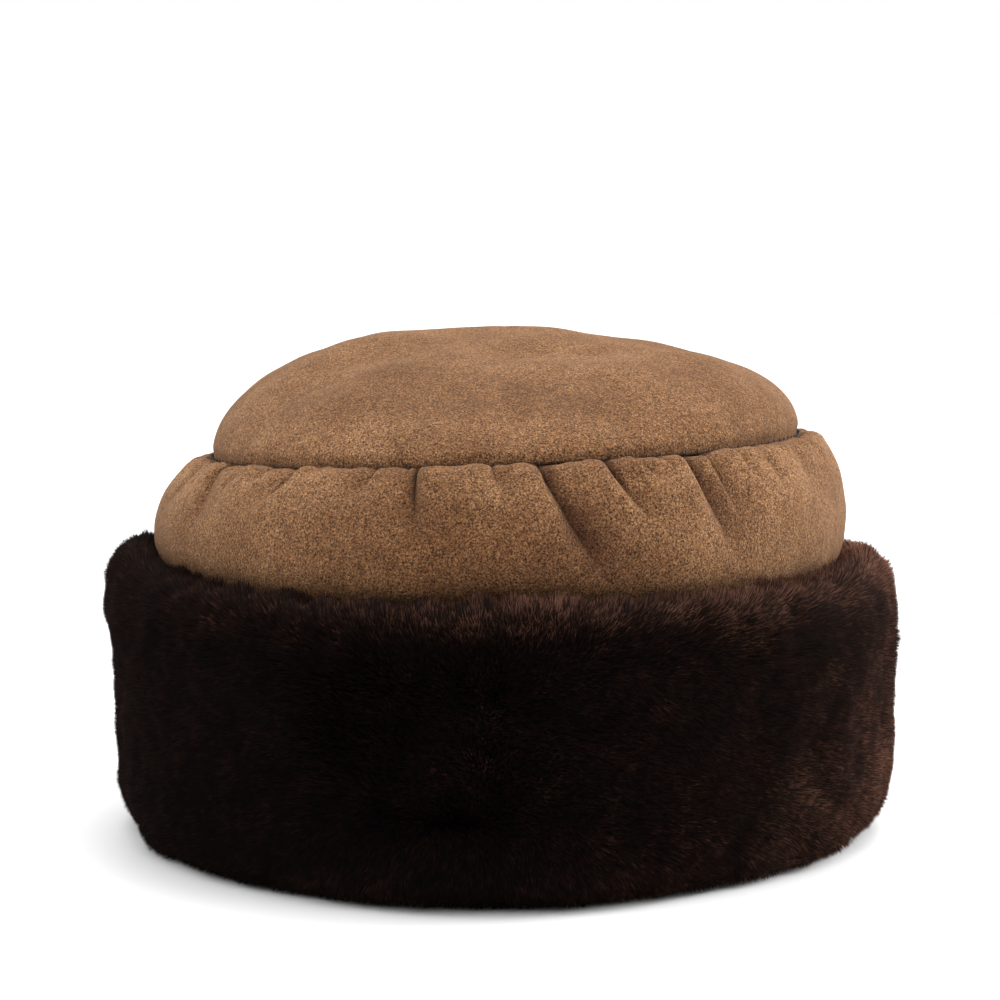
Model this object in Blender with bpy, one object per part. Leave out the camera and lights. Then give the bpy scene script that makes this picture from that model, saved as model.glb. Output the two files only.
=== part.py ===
"""Sheepskin hat: a soft suede crown, gathered into its tip, in a turned-up cuff of deep fur.

The hat stands on the fur of its cuff with its front towards -Y. The origin is at the centre of the
head opening, on the surface that the hat stands on. Every size is in metres, and every turn is an
angle round the hat from its front towards +X, in degrees.
"""

import math
import random

import bmesh
import bpy
from mathutils import Vector

# Head opening, inside the side band
HEAD_WIDTH = 0.172
HEAD_LENGTH = 0.202

# Walls and seams
SKIN = 0.003
SEWN_GAP = 0.0003
SEAM_STAND = 0.0012

# Fur cuff
CUFF_HEIGHT = 0.0765
FUR_DEPTH = 0.0228
FOOT_HEIGHT = 0.006
LOCK_WIDTH = 0.0134
LOCK_LIFT = 0.0011
LOCK_LIFT_SPREAD = (0.5, 1.3)
LOCK_ROOT = 0.5
LOCK_TIP = 1.2
LOCK_HOLLOW = -0.6
SIDE_SEAM_TURN = 76
SIDE_GROOVE_DEPTH = 0.0022
SIDE_GROOVE_WIDTH = 0.006

# Side band of the crown, above the cuff
BAND_RISE = 0.031
BAND_FULLNESS = 0.0062
SEAM_INSET = 0.003
PUFF = 0.0034
PUFF_RISES = (0.02, 0.16)
PUFF_FADES = (0.35, 0.95)
FOLD_WIDTH = 0.0042
FOLD_WIDENING = 0.8
FOLD_SHARPNESS = 1.4

# Tip of the crown
TIP_RISE = 0.0332
TIP_SQUARENESS = 2.3
TIP_LOPSIDED = 0.06
DENTS_START = 0.35

# How the soft crown leans above the cuff, in degrees: up at its right and at its front
CROWN_TILT = 2.4
CROWN_PITCH = 0.8
CROWN_SWAY = 0.0015

# Mesh counts
BAND_FACE_ROWS = 11
BAND_INNER_ROWS = 5
TIP_COLUMNS = 60
TIP_ROWS = 7
ROLL_ROWS = 4
LOCK_TIERS = 6
CURVE_STEPS = 12
SEED = 7

SEAM_HEIGHT = CUFF_HEIGHT + BAND_RISE
ROUND_SCALE = math.pi * (HEAD_WIDTH + HEAD_LENGTH) / 2 / 360

# The cuff's fur face in section, from the foot that it stands on up to the crest: how far out,
# as a share of FUR_DEPTH, and how high, as a share of CUFF_HEIGHT
CUFF_FACE = (
    # out, up
    (0.52, 0.000),
    (0.80, 0.035),
    (0.98, 0.130),
    (1.03, 0.280),
    (0.97, 0.480),
    (0.95, 0.660),
    (0.98, 0.790),
    (0.93, 0.905),
    (0.77, 0.980),
    (0.55, 1.000),
)

# The fur that rolls over the cuff's crest and down inside it
CUFF_ROLL = (
    # out, up
    (0.55, 1.000),
    (0.36, 0.960),
    (0.16, 0.860),
    (0.00, 0.680),
)

# Where the fur counts as near the foot, and where as near the crest, as shares of CUFF_HEIGHT
NEAR_FOOT = 0.3
NEAR_CREST = 0.8

# How the cuff changes round the hat: how much higher its crest stands, as a share of CUFF_HEIGHT,
# and how much further out its fur is near the crest and near the foot, as shares of FUR_DEPTH
CUFF_ROUND = (
    # turn, crest, near_crest, near_foot
    (-180, 0.040, 0.00, 0.00),
    (-120, 0.070, 0.00, -0.10),
    (-84, 0.078, 0.00, -0.18),
    (-62, 0.035, 0.00, -0.12),
    (-30, 0.005, 0.00, 0.00),
    (30, 0.000, 0.00, 0.00),
    (62, 0.020, 0.00, 0.00),
    (84, 0.025, 0.00, -0.02),
    (120, 0.030, 0.00, 0.00),
    (180, 0.040, 0.00, 0.00),
)

# The side band's face in section, from the straight wall inside the cuff up to the seam: how far
# out, as a share of BAND_FULLNESS, and how high over the cuff's crest, as a share of BAND_RISE
BAND_FACE = (
    # out, up
    (0.00, -0.60),
    (0.12, -0.38),
    (0.44, -0.14),
    (0.84, 0.10),
    (1.00, 0.36),
    (0.93, 0.62),
    (0.67, 0.835),
    (0.25, 0.955),
    (-0.28, 1.000),
    (-0.76, 0.995),
)

# Gathers that run down the side band from the tip's seam, one row for each fold. Turn is where it
# starts and drift how far round it has gone at its end, in degrees. Reach is its length as a share
# of the band's face, depth is a share of PUFF, and width a share of FOLD_WIDTH.
GATHERS = (
    # turn, drift, reach, depth, width
    (-172, -3, 0.42, 0.9, 1.0),
    (-160, -6, 0.60, 1.1, 1.3),
    (-147, -3, 0.34, 0.7, 0.8),
    (-136, -8, 0.55, 1.0, 1.1),
    (-124, -4, 0.36, 0.8, 0.9),
    (-110, -5, 0.62, 1.2, 1.2),
    (-97, -2, 0.34, 0.7, 0.9),
    (-84, -5, 0.45, 0.9, 1.0),
    (-71, -4, 0.36, 0.6, 0.9),
    (-58, -8, 0.62, 1.1, 1.1),
    (-46, -5, 0.40, 0.6, 1.2),
    (-38, -10, 0.45, 0.9, 0.9),
    (-22, -3, 0.36, 0.7, 0.9),
    (-15, 1, 0.58, 1.2, 0.8),
    (-1.5, 0, 0.30, 0.8, 1.0),
    (8.5, 8, 0.85, 1.2, 1.1),
    (20.5, 6, 0.52, 1.3, 1.2),
    (27, 6, 0.42, 0.8, 1.1),
    (36, 7, 0.75, 1.2, 0.9),
    (41, 5, 0.46, 0.8, 0.8),
    (48, 4, 0.34, 0.6, 0.9),
    (55, 5, 0.38, 0.8, 0.9),
    (65, 7, 0.50, 0.9, 1.0),
    (78, 8, 0.55, 1.0, 1.1),
    (91, 4, 0.38, 0.7, 0.9),
    (103, 6, 0.58, 1.1, 1.2),
    (116, 3, 0.36, 0.8, 0.9),
    (128, 6, 0.50, 1.0, 1.0),
    (141, 4, 0.38, 0.7, 0.9),
    (153, 7, 0.64, 1.2, 1.2),
    (166, 3, 0.40, 0.8, 1.0),
    (178, 2, 0.48, 0.9, 1.0),
)

# Soft dents in the tip. Across and along place the middle as shares of the tip's half width and
# half length, long and broad are shares of its half width, turn is the way the dent runs, and
# depth is a share of TIP_RISE. A negative depth stands up.
TIP_DENTS = (
    # across, along, long, broad, turn, depth
    (0.62, 0.10, 0.60, 0.40, 90, 0.09),
    (-0.60, 0.00, 0.60, 0.24, 90, -0.06),
    (-0.46, -0.34, 0.55, 0.14, 38, 0.07),
    (0.18, -0.42, 0.34, 0.13, -10, 0.06),
    (0.50, -0.50, 0.36, 0.16, 24, -0.04),
    (0.02, -0.86, 0.22, 0.05, 90, 0.05),
    (-0.20, 0.45, 0.45, 0.18, -30, 0.06),
    (0.34, 0.62, 0.30, 0.16, 20, 0.05),
)


def share_of(value, low, high):
    """Where value lies between low and high, from 0 to 1."""
    return min(1.0, max(0.0, (value - low) / (high - low)))


def ease(share):
    return share * share * (3 - 2 * share)


def plan_point(turn, out, height):
    """The point at this turn on the curve that runs out metres outside the head opening's oval."""
    angle = math.radians(turn)
    across = (HEAD_WIDTH / 2 + out) * math.sin(angle)
    along = -(HEAD_LENGTH / 2 + out) * math.cos(angle)
    return Vector((across, along, height))


def leaned(point):
    """The point moved as the soft crown leans, which starts inside the cuff and grows up to the seam."""
    grown = ease(share_of(point.z, CUFF_HEIGHT, SEAM_HEIGHT))
    lift = point.x * math.tan(math.radians(CROWN_TILT))
    lift -= point.y * math.tan(math.radians(CROWN_PITCH))
    return point + Vector((CROWN_SWAY, 0, lift)) * grown


def curve_through(stations, count):
    """Count points, evenly spaced, on the smooth curve through the stations (Catmull-Rom)."""
    knots = [stations[0], *stations, stations[-1]]
    fine = []
    for before, start, end, after in zip(knots, knots[1:], knots[2:], knots[3:]):
        for step in range(CURVE_STEPS):
            t = step / CURVE_STEPS
            fine.append(
                0.5
                * (
                    2 * start
                    + (end - before) * t
                    + (2 * before - 5 * start + 4 * end - after) * t**2
                    + (3 * start - before - 3 * end + after) * t**3
                )
            )
    fine.append(stations[-1])
    travelled = [0.0]
    for start, end in zip(fine, fine[1:]):
        travelled.append(travelled[-1] + (end - start).length)
    points = []
    leg = 0
    for i in range(count):
        wanted = travelled[-1] * i / (count - 1)
        while leg < len(fine) - 2 and travelled[leg + 1] < wanted:
            leg += 1
        within = share_of(wanted, travelled[leg], travelled[leg + 1])
        points.append(fine[leg].lerp(fine[leg + 1], within))
    return points


def normals_left_of(line):
    """A unit normal at each point of a line in section, to the left of the way that it runs."""
    normals = []
    for i in range(len(line)):
        along = line[min(i + 1, len(line) - 1)] - line[max(i - 1, 0)]
        normals.append(Vector((-along.y, along.x)).normalized())
    return normals


def turn_between(first, second):
    """The shorter way from the second turn to the first, in degrees."""
    return (first - second + 180) % 360 - 180


def mesh_object(name, mesh_data, material):
    mesh = bpy.data.meshes.new(name)
    bmesh.ops.recalc_face_normals(mesh_data, faces=mesh_data.faces)
    bmesh.ops.triangulate(mesh_data, faces=mesh_data.faces)
    mesh_data.to_mesh(mesh)
    mesh_data.free()
    mesh.shade_smooth()
    piece = bpy.data.objects.new(name, mesh)
    piece.data.materials.append(material)
    bpy.context.scene.collection.objects.link(piece)
    return piece


def loft_round(name, sections, material, whole_turn):
    """A solid through closed sections set round the hat. It joins its ends, or has flat ones."""
    solid = bmesh.new()
    loops = [[solid.verts.new(point) for point in section] for section in sections]
    pairs = list(zip(loops, loops[1:]))
    if whole_turn:
        pairs.append((loops[-1], loops[0]))
    else:
        solid.faces.new(loops[0])
        solid.faces.new(reversed(loops[-1]))
    for near, far in pairs:
        for i in range(len(near)):
            j = (i + 1) % len(near)
            solid.faces.new((near[i], near[j], far[j], far[i]))
    return mesh_object(name, solid, material)


def soft_material(name, colour, roughness):
    material = bpy.data.materials.new(name)
    material.use_nodes = True
    shader = material.node_tree.nodes["Principled BSDF"]
    shader.inputs["Base Color"].default_value = (*colour, 1.0)
    shader.inputs["Roughness"].default_value = roughness
    shader.inputs["Metallic"].default_value = 0.0
    return material


def gather_depth(turn, travelled):
    """How much of the puff a turn of the band has lost to its folds, from 0 to about 1."""
    lost = 0.0
    for start, drift, reach, depth, width in GATHERS:
        if travelled >= reach:
            continue
        run = travelled / reach
        away = abs(turn_between(turn, start + drift * run)) * ROUND_SCALE
        breadth = FOLD_WIDTH * width * FOLD_WIDENING * (1 + run)
        across_fold = math.exp(-((away / breadth) ** FOLD_SHARPNESS))
        lost = max(lost, depth * (1 - run**2) * across_fold)
    return lost


def band_section(here, there, share):
    """The side band's closed section between two gathers, up its face and down inside it."""

    def turn_at(travelled):
        drifts = [fold[1] * min(1.0, travelled / fold[2]) for fold in (here, there)]
        gap = turn_between(there[0], here[0])
        return here[0] + gap * share + drifts[0] * (1 - share) + drifts[1] * share

    stations = [
        Vector((SKIN + out * BAND_FULLNESS, CUFF_HEIGHT + up * BAND_RISE)) for out, up in BAND_FACE
    ]
    face = curve_through(stations, BAND_FACE_ROWS)
    normals = normals_left_of(face)
    turns = [turn_at(1 - i / (len(face) - 1)) for i in range(len(face))]
    puffed = []
    for i, (place, normal) in enumerate(zip(face, normals)):
        travelled = 1 - i / (len(face) - 1)
        swell = ease(share_of(travelled, *PUFF_RISES)) * (1 - ease(share_of(travelled, *PUFF_FADES)))
        puffed.append(place - normal * PUFF * swell * (1 - gather_depth(turns[i], travelled)))

    def placed(turn, point):
        return leaned(plan_point(turn, point.x, point.y))

    ledge_end = Vector((-SEAM_INSET - SKIN, SEAM_HEIGHT))
    section = [placed(turns[0], Vector((SKIN, FOOT_HEIGHT)))]
    section += [placed(turn, point) for turn, point in zip(turns, puffed)]
    section.append(placed(turns[-1], ledge_end))
    section.append(placed(turns[-1], ledge_end - Vector((0, SKIN))))
    for row in range(BAND_INNER_ROWS, 0, -1):
        i = round((row - 1) * (len(face) - 3) / (BAND_INNER_ROWS - 1))
        section.append(placed(turns[i], puffed[i] + normals[i] * SKIN))
    section.append(placed(turns[0], Vector((0, FOOT_HEIGHT))))
    return section


def make_side_band(material):
    """The gathered side of the crown. It runs down inside the cuff to the head opening.

    Four columns of faces go with each gather: one lies in its fold and drifts round with it.
    """
    sections = []
    for here, there in zip(GATHERS, (*GATHERS[1:], GATHERS[0])):
        gap = turn_between(there[0], here[0])
        flank = min(gap / 3, FOLD_WIDTH * here[4] / ROUND_SCALE)
        for offset in (0, flank, gap / 2, gap - flank):
            sections.append(band_section(here, there, offset / gap))
    return loft_round("crown_side_band", sections, material, whole_turn=True)


def tip_dent(across, along):
    """How far the tip is pushed down at this place, in metres."""
    depth = 0.0
    length_ratio = (HEAD_LENGTH / 2 - SEAM_INSET) / (HEAD_WIDTH / 2 - SEAM_INSET)
    for middle_x, middle_y, long, broad, turn, share in TIP_DENTS:
        way = math.radians(turn)
        dx = across - middle_x
        dy = (along - middle_y) * length_ratio
        lengthways = (dx * math.cos(way) + dy * math.sin(way)) / long
        sideways = (dy * math.cos(way) - dx * math.sin(way)) / broad
        depth += share * TIP_RISE * math.exp(-(lengthways**2) - sideways**2)
    return depth


def tip_point(turn, climb, stand):
    """A point on the tip, where climb goes from 0 at the seam to 1 at the middle of the dome."""
    angle = climb * math.pi / 2
    direction = math.radians(turn)
    square = TIP_SQUARENESS + TIP_LOPSIDED * math.sin(direction)
    reach = max(0.0, math.cos(angle)) ** (2 / square)
    rise = math.sin(angle) ** (2 / square)
    across = reach * math.sin(direction)
    along = -reach * math.cos(direction)
    pushed = tip_dent(across, along) * ease(share_of(climb, 0.0, DENTS_START))
    half_width = HEAD_WIDTH / 2 - SEAM_INSET
    half_length = HEAD_LENGTH / 2 - SEAM_INSET
    height = SEAM_HEIGHT + SEWN_GAP + stand + TIP_RISE * rise - pushed
    return leaned(Vector((half_width * across, half_length * along, height)))


def make_tip(material):
    """The domed top panel of the crown. Its edge stands on the side band's ledge, at their seam."""
    dome = bmesh.new()
    turns = [360 * column / TIP_COLUMNS for column in range(TIP_COLUMNS)]
    rings = [[dome.verts.new(tip_point(turn, 0, 0)) for turn in turns]]
    for row in range(TIP_ROWS):
        climb = row / TIP_ROWS
        rings.append([dome.verts.new(tip_point(turn, climb, SEAM_STAND)) for turn in turns])
    middle = dome.verts.new(tip_point(0, 1, SEAM_STAND))
    for i in range(TIP_COLUMNS):
        j = (i + 1) % TIP_COLUMNS
        for low, high in zip(rings, rings[1:]):
            dome.faces.new((low[i], low[j], high[j], high[i]))
        dome.faces.new((rings[-1][i], rings[-1][j], middle))
    tip = mesh_object("crown_tip", dome, material)
    wall = tip.modifiers.new("wall", "SOLIDIFY")
    wall.thickness = SKIN
    wall.offset = -1
    wall.use_even_offset = True
    return tip


def side_groove(turn):
    """How far the fur is drawn in at the cuff's two side seams, in metres."""
    middle = (HEAD_WIDTH + HEAD_LENGTH) / 4 + FUR_DEPTH
    away = abs(abs(turn_between(turn, 0)) - SIDE_SEAM_TURN) * math.pi / 180 * middle
    return SIDE_GROOVE_DEPTH * math.exp(-((away / SIDE_GROOVE_WIDTH) ** 2))


def cuff_round(turn):
    """How the cuff differs at this turn: crest, near crest and near foot, from CUFF_ROUND."""
    for low, high in zip(CUFF_ROUND, CUFF_ROUND[1:]):
        wrapped = (turn + 180) % 360 - 180
        if wrapped <= high[0]:
            blend = ease(share_of(wrapped, low[0], high[0]))
            return [a + (b - a) * blend for a, b in zip(low[1:], high[1:])]
    return CUFF_ROUND[-1][1:]


def cuff_section(turn, column, lifts):
    """The cuff's closed section: its flat foot, up the locks of its fur, over and down inside."""
    inside = SKIN + SEWN_GAP
    crest, near_crest, near_foot = cuff_round(turn)

    def placed(stations):
        points = []
        for out, up in stations:
            near = ease(share_of(up, NEAR_FOOT, NEAR_CREST))
            wider = 1 + (near_foot * (1 - near) + near_crest * near) * share_of(up, 0, NEAR_FOOT / 3)
            taller = 1 + crest * ease(up)
            points.append(Vector((inside + out * wider * FUR_DEPTH, up * taller * CUFF_HEIGHT)))
        return points

    face = curve_through(placed(CUFF_FACE), 2 * LOCK_TIERS + 1)
    normals = normals_left_of(face)
    groove = side_groove(turn)
    outer = []
    for row, (place, normal) in enumerate(zip(face, normals)):
        tier = row // 2
        lift = LOCK_LIFT * lifts[(column // 2, tier)]
        if (column + tier) % 2:
            lift *= LOCK_HOLLOW
        lift *= LOCK_TIP if row % 2 else LOCK_ROOT
        outer.append(place - normal * (lift - groove) if row else place)
    roll = curve_through(placed(CUFF_ROLL), ROLL_ROWS + 1)[1:]
    shelf = FOOT_HEIGHT - SEWN_GAP
    inner = [
        Vector((inside, shelf)),
        Vector((0, shelf)),
        Vector((0, FOOT_HEIGHT / 3)),
        Vector((inside / 2, 0)),
    ]
    return [*outer, *roll, *inner]


def make_cuff(name, first_turn, last_turn, columns, material, draw):
    """One half of the cuff, a strip of sheepskin with its fur outwards, in locks on its backing."""
    lifts = {
        (lock, tier): draw.uniform(*LOCK_LIFT_SPREAD)
        for lock in range(columns // 2 + 1)
        for tier in range(LOCK_TIERS + 1)
    }
    sections = []
    for column in range(columns + 1):
        turn = first_turn + (last_turn - first_turn) * column / columns
        sections.append([plan_point(turn, p.x, p.y) for p in cuff_section(turn, column, lifts)])
    return loft_round(name, sections, material, whole_turn=False)


def lock_columns(span):
    """How many columns of half locks fit in this many degrees of the cuff, as an even number."""
    middle = (HEAD_WIDTH + HEAD_LENGTH) / 4 + FUR_DEPTH
    return 2 * max(4, round(math.radians(span) * middle / LOCK_WIDTH))


def main():
    for old in list(bpy.data.objects):
        bpy.data.objects.remove(old)
    suede = soft_material("brown_suede", (0.235, 0.142, 0.082), 0.95)
    fur = soft_material("dark_brown_fur", (0.022, 0.013, 0.010), 0.85)
    draw = random.Random(SEED)

    make_side_band(suede)
    make_tip(suede)
    middle = (HEAD_WIDTH + HEAD_LENGTH) / 4
    half_gap = math.degrees(SEWN_GAP / 2 / middle)
    front_end = SIDE_SEAM_TURN - half_gap
    back_start = SIDE_SEAM_TURN + half_gap
    front_span = 2 * front_end
    back_span = 360 - 2 * back_start
    make_cuff("fur_cuff_front", -front_end, front_end, lock_columns(front_span), fur, draw)
    make_cuff("fur_cuff_back", back_start, 360 - back_start, lock_columns(back_span), fur, draw)


main()
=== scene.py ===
"""Sheepskin hat: a gathered suede crown in a turned-up cuff of sheared wool, on a pale floor.

Lengths are in metres. A turn is an angle round the hat in degrees, from its front towards +X.
"""

import math

import bmesh
import bpy
import numpy as np
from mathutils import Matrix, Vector


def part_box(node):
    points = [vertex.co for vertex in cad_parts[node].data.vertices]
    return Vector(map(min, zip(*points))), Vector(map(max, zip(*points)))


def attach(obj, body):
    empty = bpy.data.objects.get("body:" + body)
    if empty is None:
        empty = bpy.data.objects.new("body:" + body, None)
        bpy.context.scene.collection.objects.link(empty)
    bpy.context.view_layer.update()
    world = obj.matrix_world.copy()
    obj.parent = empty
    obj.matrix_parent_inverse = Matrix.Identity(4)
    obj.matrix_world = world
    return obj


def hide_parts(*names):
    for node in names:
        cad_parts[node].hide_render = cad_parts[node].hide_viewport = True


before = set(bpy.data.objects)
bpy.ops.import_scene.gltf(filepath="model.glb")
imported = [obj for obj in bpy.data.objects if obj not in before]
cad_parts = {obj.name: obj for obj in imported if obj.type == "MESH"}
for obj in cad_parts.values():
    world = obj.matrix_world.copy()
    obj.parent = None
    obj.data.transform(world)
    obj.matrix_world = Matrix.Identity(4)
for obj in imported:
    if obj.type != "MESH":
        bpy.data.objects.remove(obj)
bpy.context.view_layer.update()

# Side band of the crown
# A strip of brown suede, gathered into the seam round the tip, that puffs out above the cuff and
# runs down inside it to the head opening. Each gather is a crease that fades as it runs down.

TIP_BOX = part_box("crown_tip")
BAND_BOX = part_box("crown_side_band")
SEAM_INSET = 0.003
HEAD_HALF_WIDTH = (TIP_BOX[1][0] - TIP_BOX[0][0]) / 2 + SEAM_INSET
HEAD_HALF_LENGTH = (TIP_BOX[1][1] - TIP_BOX[0][1]) / 2 + SEAM_INSET
HEM_HEIGHT = BAND_BOX[0][2]
SUEDE_WALL = 0.003
CUFF_HEIGHT = 0.0765
BAND_RISE = 0.031
BAND_FULLNESS = 0.0062
SEAM_HEIGHT = CUFF_HEIGHT + BAND_RISE
PUFF = 0.0036  # how far the band bulges between its gathers
PUFF_AT_SEAM = 0.4  # share of it that is left right at the seam
PUFF_RISES = (-0.02, 0.08)  # between these shares of the way from the seam down the face
PUFF_FADES = (0.35, 0.95)  # the same
PUCKER_SIZE = 0.0030
PUCKER_HEIGHT = 0.00025
PUCKER_FADES = (0.03, 0.26)  # the same
SLACK_HEIGHT = 0.00042
SLACK_LAYERS = ((0.016, 12, 0.55), (0.034, 13, 1.0))  # size, seed and share of the height
FOLD_WIDTH = 0.0020
FOLD_WIDENING = 2.4
FOLD_CURVE = 1.5
FOLD_STEEP_SIDE = 0.45  # breadth of a gather's steep side, as a share of a plain one's
FOLD_EASY_SIDE = 0.8  # how much broader the side opposite the steep one is
FOLD_POINT = 0.75  # a gather's section is pointed at the seam, and rounds off as it runs down
FOLD_ROUNDING = 0.85
CROWN_TILT = 2.4  # degrees up towards the right
CROWN_PITCH = 0.8  # degrees up towards the front
CROWN_SWAY = 0.0015
COLUMNS_A_GATHER = 12
COLUMN_PITCH = 0.6  # degrees of a gap for each column more
COLUMN_CROWDING = 0.86
BAND_ROWS = 74
BAND_ROW_CROWDING = 1.35
BAND_INNER_ROWS = 6
BAND_INNER_TOP = 8  # rows from the seam down to the top row of the inside
ROUND_SCALE = math.pi * (HEAD_HALF_WIDTH + HEAD_HALF_LENGTH) / 360  # metres to a degree

# The band's face, from inside the cuff up to the seam: out as a share of BAND_FULLNESS, and up over
# the cuff's crest as a share of BAND_RISE
BAND_FACE = (
    # out, up
    (0.00, -0.60),
    (0.12, -0.38),
    (0.44, -0.14),
    (0.84, 0.10),
    (0.86, 0.32),
    (0.73, 0.50),
    (0.52, 0.66),
    (0.21, 0.787),
    (-0.14, 0.884),
    (-0.48, 0.955),
    (-0.84, 0.990),
)

# Turn is where a gather leaves the seam and drift how far round it has gone at its end, in degrees.
# Reach is its length as a share of the face, depth a share of PUFF, and width one of FOLD_WIDTH.
# Steep is the side on which it falls away sharply: 1 towards +X, -1 the other way, 0 neither.
GATHERS = (
    # turn, drift, reach, depth, width, steep
    (-172, -3, 0.42, 0.9, 1.0, 1),
    (-160, -6, 0.60, 1.1, 1.3, -1),
    (-147, -3, 0.34, 0.7, 0.8, 0),
    (-136, -8, 0.55, 1.0, 1.1, 1),
    (-124, -4, 0.36, 0.8, 0.9, -1),
    (-110, -5, 0.62, 1.2, 1.2, -1),
    (-97, -2, 0.34, 0.7, 0.9, 0),
    (-84, -5, 0.45, 0.9, 1.0, 1),
    (-71, -4, 0.36, 0.6, 0.9, 0),
    (-61, 2, 0.36, 0.7, 0.8, -1),
    (-52, -3, 0.20, 0.4, 0.5, 0),
    (-45, -4, 0.18, 0.4, 0.5, 1),
    (-38, -7, 0.28, 0.9, 0.9, 1),
    (-22.5, -1.5, 0.20, 0.7, 0.5, 1),
    (-16.8, 1, 0.15, 0.5, 0.3, 0),
    (-15.3, 2.5, 0.36, 1.1, 0.45, 0),
    (-2.5, 3, 0.24, 0.6, 0.5, -1),
    (5.5, 15, 0.68, 1.05, 1.5, -1),
    (16.8, 7.5, 0.36, 1.05, 0.8, -1),
    (22.2, 5, 0.20, 0.5, 0.5, -1),
    (27, 3, 0.16, 0.5, 0.7, 0),
    (32, 8, 0.56, 1.05, 1.2, -1),
    (36.3, 5, 0.42, 0.9, 0.8, -1),
    (43.2, 1, 0.24, 0.5, 0.5, -1),
    (48.5, 1.5, 0.28, 0.5, 0.6, -1),
    (58.3, 5, 0.36, 0.7, 0.8, -1),
    (69, -1, 0.34, 0.7, 0.8, -1),
    (80, 5, 0.40, 0.6, 0.9, 0),
    (91, 4, 0.38, 0.7, 0.9, 0),
    (103, 6, 0.58, 1.1, 1.2, 1),
    (116, 3, 0.36, 0.8, 0.9, -1),
    (128, 6, 0.50, 1.0, 1.0, 1),
    (141, 4, 0.38, 0.7, 0.9, 0),
    (153, 7, 0.64, 1.2, 1.2, 1),
    (166, 3, 0.40, 0.8, 1.0, -1),
    (178, 2, 0.48, 0.9, 1.0, 0),
)


def share_of(value, low, high):
    """Where value lies between low and high, from 0 to 1, eased at both ends."""
    share = np.clip((value - low) / (high - low), 0, 1)
    return share * share * (3 - 2 * share)


def turns_away(turn, middle):
    """How far a turn is from the middle one, from -180 to 180 degrees."""
    return (turn - middle + 180) % 360 - 180


def bell(distance, breadth):
    """A bell curve that is 1 at no distance and has faded out at about twice the breadth."""
    return np.exp(-((distance / breadth) ** 2))


def unit(vectors):
    """The same directions at length 1."""
    return vectors / np.maximum(np.linalg.norm(vectors, axis=-1, keepdims=True), 1e-12)


def round_the_hat(turn, out, height):
    """Points on the curve that runs out metres outside the head opening's oval."""
    angle = np.radians(turn)
    across = (HEAD_HALF_WIDTH + out) * np.sin(angle)
    along = -(HEAD_HALF_LENGTH + out) * np.cos(angle)
    return np.stack(np.broadcast_arrays(across, along, height), axis=-1)


def lean_crown(points):
    """Moves points as the soft crown leans: up at its right and front, more towards the seam."""
    grown = share_of(points[..., 2], CUFF_HEIGHT, SEAM_HEIGHT)
    lift = points[..., 0] * math.tan(math.radians(CROWN_TILT))
    lift = lift - points[..., 1] * math.tan(math.radians(CROWN_PITCH))
    moved = points.copy()
    moved[..., 0] += CROWN_SWAY * grown
    moved[..., 2] += lift * grown
    return moved


def smooth_line(stations, shares):
    """Points at shares of the length of the smooth curve through the stations (Catmull-Rom)."""
    knots = np.array([stations[0], *stations, stations[-1]], dtype=float)
    t = np.linspace(0, 1, 24, endpoint=False)[:, None]
    fine = []
    for before, start, end, after in zip(knots, knots[1:], knots[2:], knots[3:]):
        bend = 2 * before - 5 * start + 4 * end - after
        twist = 3 * start - before - 3 * end + after
        fine.append(0.5 * (2 * start + (end - before) * t + bend * t**2 + twist * t**3))
    fine = np.vstack([*fine, knots[-1:]])
    travelled = np.concatenate([[0], np.cumsum(np.linalg.norm(np.diff(fine, axis=0), axis=1))])
    wanted = travelled[-1] * np.asarray(shares)
    return np.stack([np.interp(wanted, travelled, fine[:, k]) for k in (0, 1)], axis=1)


def outward_normals(line):
    """Unit normals of a line in section, to the right of the way that it runs."""
    along = unit(np.gradient(line, axis=0))
    return np.stack([along[:, 1], -along[:, 0]], axis=1)


def ripple(points, size, seed):
    """A smooth random field of about unit height whose swells are about size across."""
    waves = 28
    draw = np.random.default_rng(seed)
    ways = unit(draw.normal(size=(waves, points.shape[-1])))
    pace = math.pi / size * draw.uniform(0.6, 1.5, waves)
    start = draw.uniform(0, 2 * math.pi, waves)
    field = np.zeros(points.shape[:-1])
    for way, speed, phase in zip(ways, pace, start):
        field += np.cos(points @ way * speed + phase)
    return field * math.sqrt(2 / waves)


def ripples(points, layers):
    """The sum of the ripples with these sizes, seeds and heights."""
    return sum(ripple(points, size, seed) * height for size, seed, height in layers)


def add_object(name, data):
    """A new object with this data, in the scene."""
    made = bpy.data.objects.new(name, data)
    bpy.context.scene.collection.objects.link(made)
    return made


def smooth_object(name, points, faces):
    """A new object with a smooth-shaded mesh of these points and faces, in the scene."""
    mesh = bpy.data.meshes.new(name)
    mesh.from_pydata(points, [], faces)
    mesh.shade_smooth()
    return add_object(name, mesh)


def store(mesh, name, values, kind="FLOAT"):
    """Keeps a value for each point of the mesh as an attribute of this name."""
    attribute = mesh.attributes.new(name, kind, "POINT")
    attribute.data.foreach_set("vector" if kind == "FLOAT_VECTOR" else "value", values.ravel())


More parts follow.
